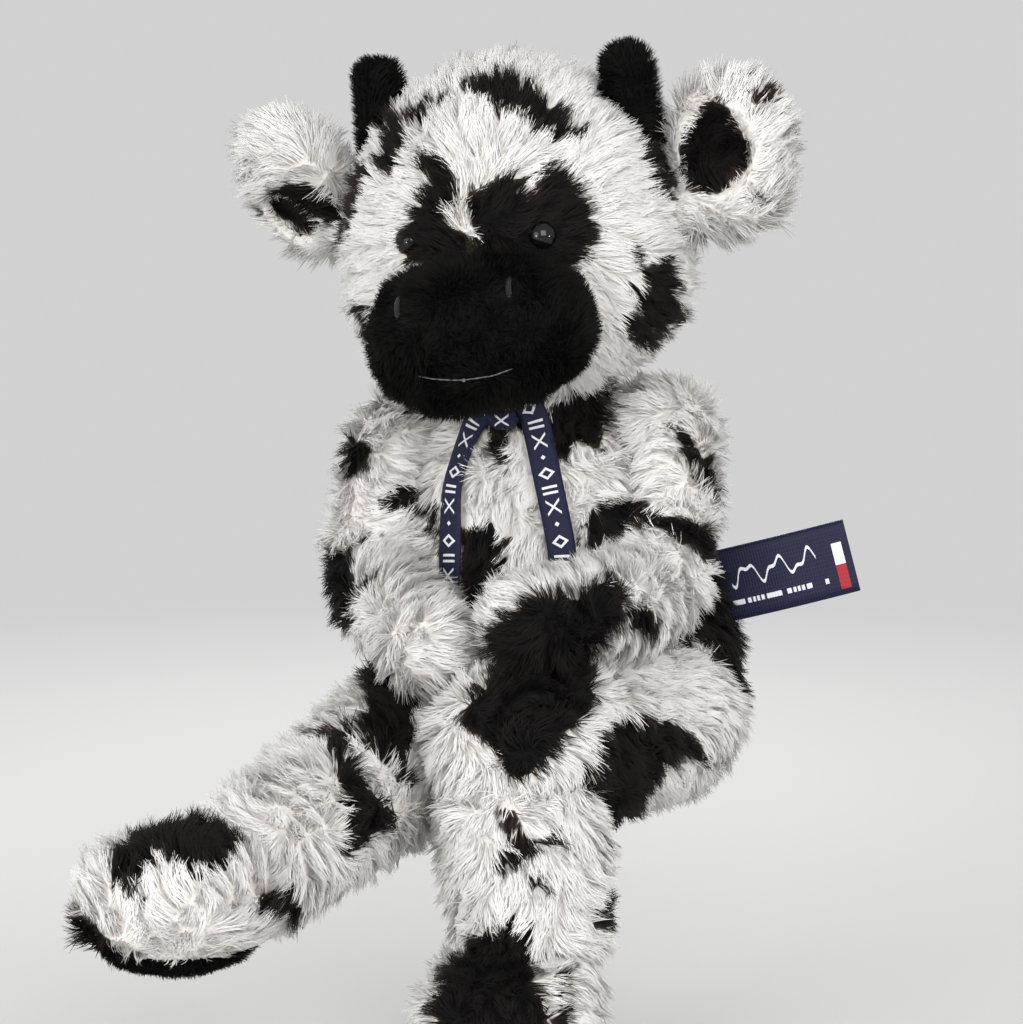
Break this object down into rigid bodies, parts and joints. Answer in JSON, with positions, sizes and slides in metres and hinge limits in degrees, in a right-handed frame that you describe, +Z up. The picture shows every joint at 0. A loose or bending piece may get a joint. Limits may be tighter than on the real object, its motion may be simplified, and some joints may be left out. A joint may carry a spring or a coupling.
{
  "type": "plush cow",
  "caption": "Limp seated plush cow with long arms and legs, spotted white fur, black muzzle, stub horns, cupped ears, a neck ribbon and a woven side label",
  "frame": {"origin": "middle of the seat, the flat underside of the torso", "axes": "+Z up, -Y the way the chest faces, +X the cow's own left"},
  "size_m": [0.2247, 0.2886, 0.3473],
  "materials": {
    "white_fur": "white faux fur with black spots, about 8 mm long",
    "black_plush": "short matt black plush",
    "gloss_black": "glossy moulded black",
    "black_satin": "glossy black satin stitch",
    "grey_thread": "thin grey embroidery thread",
    "navy_weave": "navy woven ribbon, slight sheen",
    "pale_washer": "plain moulded plastic"
  },
  "bodies": {
    "torso": {"torso": "white_fur", "ribbon_collar": "navy_weave", "ribbon_knot": "navy_weave", "ribbon_end_left": "navy_weave", "ribbon_end_right": "navy_weave", "side_label": "navy_weave"},
    "head": {"head": "white_fur", "muzzle": "black_plush", "mouth_thread": "grey_thread", "nostril_left": "black_satin", "nostril_right": "black_satin", "horn_left": "black_plush", "horn_right": "black_plush", "eye_left": "gloss_black", "eye_right": "gloss_black", "eye_washer_left": "pale_washer", "eye_washer_right": "pale_washer", "ear_left": "white_fur", "ear_right": "white_fur", "ear_lining_left": "black_plush", "ear_lining_right": "black_plush"},
    "arm_left": {"arm_left": "white_fur"},
    "arm_right": {"arm_right": "white_fur"},
    "thigh_left": {"thigh_left": "white_fur"},
    "thigh_right": {"thigh_right": "white_fur"},
    "shin_left": {"shin_left": "white_fur", "foot_left": "white_fur", "sole_left": "black_plush"},
    "shin_right": {"shin_right": "white_fur", "foot_right": "white_fur", "sole_right": "black_plush"},
    "tail": {"tail": "white_fur", "tail_tuft": "black_plush"}
  },
  "joints": [
    {"name": "neck_turn", "type": "hinge", "parent": "torso", "child": "head", "pos_m": [-0.013, -0.003, 0.141], "axis": [0, 0, 1], "range_deg": [-40, 40]},
    {"name": "shoulder_left", "type": "hinge", "parent": "torso", "child": "arm_left", "pos_m": [0.03514, -0.00275, 0.129], "axis": [-0.5774, -0.5774, 0.5774], "range_deg": [0, 90]},
    {"name": "shoulder_right", "type": "hinge", "parent": "torso", "child": "arm_right", "pos_m": [-0.06179, -0.0026, 0.122], "axis": [-0.5774, 0.5774, -0.5774], "range_deg": [0, 90]},
    {"name": "hip_left", "type": "hinge", "parent": "torso", "child": "thigh_left", "pos_m": [0.03685, -0.02209, 0.0283], "axis": [0.911, -0.4123, 0], "range_deg": [0, 50]},
    {"name": "hip_right", "type": "hinge", "parent": "torso", "child": "thigh_right", "pos_m": [-0.03685, -0.02209, 0.0283], "axis": [0.9745, -0.2242, 0], "range_deg": [0, 50]},
    {"name": "knee_left", "type": "hinge", "parent": "thigh_left", "child": "shin_left", "pos_m": [0.0014, -0.10043, 0.0298], "axis": [-0.9976, 0.0698, 0], "range_deg": [0, 78]},
    {"name": "knee_right", "type": "hinge", "parent": "thigh_right", "child": "shin_right", "pos_m": [-0.0559, -0.10487, 0.01485], "axis": [0.9397, -0.342, 0], "range_deg": [0, 60]},
    {"name": "tail_swing", "type": "hinge", "parent": "torso", "child": "tail", "pos_m": [-0.00257, 0.04237, 0.06204], "axis": [1, 0, 0], "range_deg": [0, 45]}
  ]
}
